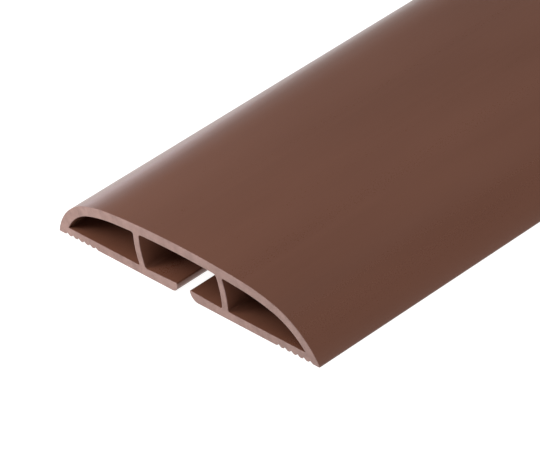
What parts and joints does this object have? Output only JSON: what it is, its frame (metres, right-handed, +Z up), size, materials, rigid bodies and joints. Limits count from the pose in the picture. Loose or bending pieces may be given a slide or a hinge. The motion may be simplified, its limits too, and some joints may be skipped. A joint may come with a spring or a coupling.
{
  "type": "floor cord cover",
  "caption": "Flexible floor cord cover: a low domed strip with ramped flanks, channels for cords, a slit with folding lips underneath and grip teeth under its edges.",
  "frame": {"origin": "on the floor, under the middle of the strip's length and width", "axes": "+Y along the strip, +X across it, +Z up from the floor"},
  "size_m": [0.07, 0.914, 0.0112],
  "materials": {
    "strip": "satin brown flexible vinyl, die-drawn along its length"
  },
  "bodies": {
    "crown": {"crown_strip": "strip"},
    "left_half": {"left_roof_panel": "strip", "left_shoulder": "strip", "left_ramp": "strip", "left_grip_edge": "strip", "left_base": "strip", "left_web": "strip"},
    "right_half": {"right_roof_panel": "strip", "right_shoulder": "strip", "right_ramp": "strip", "right_grip_edge": "strip", "right_base": "strip", "right_web": "strip"},
    "left_lip": {"left_lip": "strip"},
    "right_lip": {"right_lip": "strip"}
  },
  "joints": [
    {"name": "left_fold", "type": "hinge", "parent": "crown", "child": "left_half", "pos_m": [-0.0055, 0, 0.01112], "axis": [0, 1, 0], "range_deg": [0, 30], "stiffness_Nm_per_rad": 1},
    {"name": "right_fold", "type": "hinge", "parent": "crown", "child": "right_half", "pos_m": [0.0055, 0, 0.01112], "axis": [0, -1, 0], "range_deg": [0, 30], "stiffness_Nm_per_rad": 1},
    {"name": "left_lip_fold", "type": "hinge", "parent": "left_half", "child": "left_lip", "pos_m": [-0.01025, 0, 0.0018], "axis": [0, -1, 0], "range_deg": [0, 50], "stiffness_Nm_per_rad": 0.5},
    {"name": "right_lip_fold", "type": "hinge", "parent": "right_half", "child": "right_lip", "pos_m": [0.01025, 0, 0.0018], "axis": [0, 1, 0], "range_deg": [0, 50], "stiffness_Nm_per_rad": 0.5}
  ]
}
